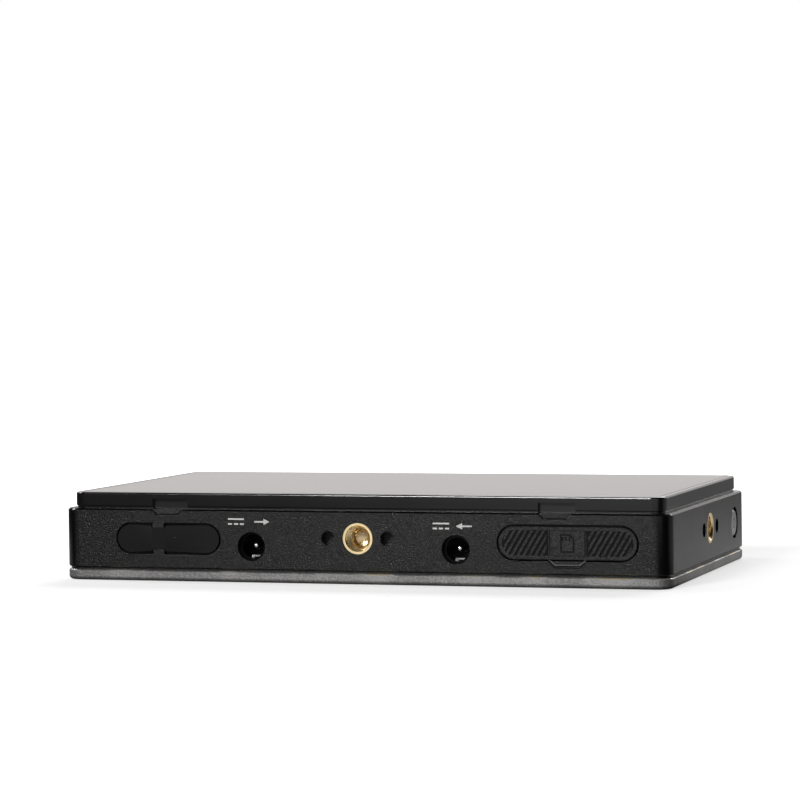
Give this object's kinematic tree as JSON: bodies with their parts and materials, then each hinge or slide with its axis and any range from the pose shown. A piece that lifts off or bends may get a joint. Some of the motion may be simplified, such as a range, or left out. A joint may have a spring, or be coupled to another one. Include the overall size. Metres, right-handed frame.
{
  "type": "camera field monitor",
  "caption": "Thin on-camera field monitor with a glass front, brass tripod threads, barrel power sockets, rubber port covers, a side button and a battery bay in its back plate.",
  "frame": {"origin": "middle of the footprint, on the back plate's outer face", "axes": "+X the screen's right, +Y the screen's top edge, +Z out of the screen"},
  "size_m": [0.16, 0.091, 0.0225],
  "materials": {
    "frame_black": "fine grained",
    "plate_grey": "satin blasted",
    "bezel_black": "gloss",
    "cover_glass": "polished",
    "adhesive": "matt",
    "bond": "clear",
    "lcd": "gloss",
    "light_guide": "satin",
    "tray_steel": "satin",
    "ribbon": "satin",
    "board_green": "satin",
    "chip_black": "matt",
    "heat_pad": "matt",
    "socket_black": "satin",
    "contact_metal": "polished",
    "socket_steel": "satin",
    "insert_brass": "turned",
    "cover_rubber": "matt",
    "button_grey": "satin",
    "screw_steel": "blackened"
  },
  "bodies": {
    "housing": {"back_plate": "plate_grey", "back_screws": "screw_steel", "backlight_stack": "light_guide", "backlight_tray": "tray_steel", "battery_contacts": "contact_metal", "battery_tray": "socket_black", "board_screws": "screw_steel", "bottom_insert": "insert_brass", "button_board": "board_green", "card_cover_strap": "cover_rubber", "card_socket": "socket_steel", "dc_in_contact": "contact_metal", "dc_in_pin": "contact_metal", "dc_in_socket": "socket_black", "dc_out_contact": "contact_metal", "dc_out_pin": "contact_metal", "dc_out_socket": "socket_black", "display_flex": "ribbon", "front_bezel": "bezel_black", "front_glass": "cover_glass", "glass_tape": "adhesive", "hdmi_in_socket": "socket_steel", "hdmi_out_socket": "socket_steel", "headphone_socket": "socket_black", "latch_spring": "socket_steel", "lcd_cell": "lcd", "main_board": "board_green", "main_chip": "chip_black", "main_frame": "frame_black", "optical_bond": "bond", "power_switch": "chip_black", "side_insert": "insert_brass", "thermal_pad": "heat_pad", "usb_cover_anchor": "cover_rubber", "usb_socket": "socket_steel"},
    "card_cover": {"card_cover_flap": "cover_rubber"},
    "usb_cover": {"usb_cover_flap": "cover_rubber"},
    "power_button": {"power_button": "button_grey", "switch_plunger": "socket_black"},
    "battery_latch": {"battery_latch": "socket_black"}
  },
  "joints": [
    {"name": "power_button_press", "type": "slide", "parent": "housing", "child": "power_button", "axis": [-1, 0, 0], "range_m": [0, 0.0005], "stiffness_N_per_m": 3000, "springref_m": -0.0002},
    {"name": "battery_latch_press", "type": "slide", "parent": "housing", "child": "battery_latch", "axis": [0, 0, 1], "range_m": [0, 0.0022], "stiffness_N_per_m": 500, "springref_m": -0.001, "deforming": ["latch_spring"]},
    {"name": "card_cover_hinge", "type": "hinge", "parent": "housing", "child": "card_cover", "pos_m": [0.0542, -0.04548, 0.01515], "axis": [-1, 0, 0], "range_deg": [0, 100]},
    {"name": "usb_cover_hinge", "type": "hinge", "parent": "housing", "child": "usb_cover", "pos_m": [-0.05365, -0.04548, 0.0109], "axis": [0, 0, -1], "range_deg": [0, 100]}
  ]
}
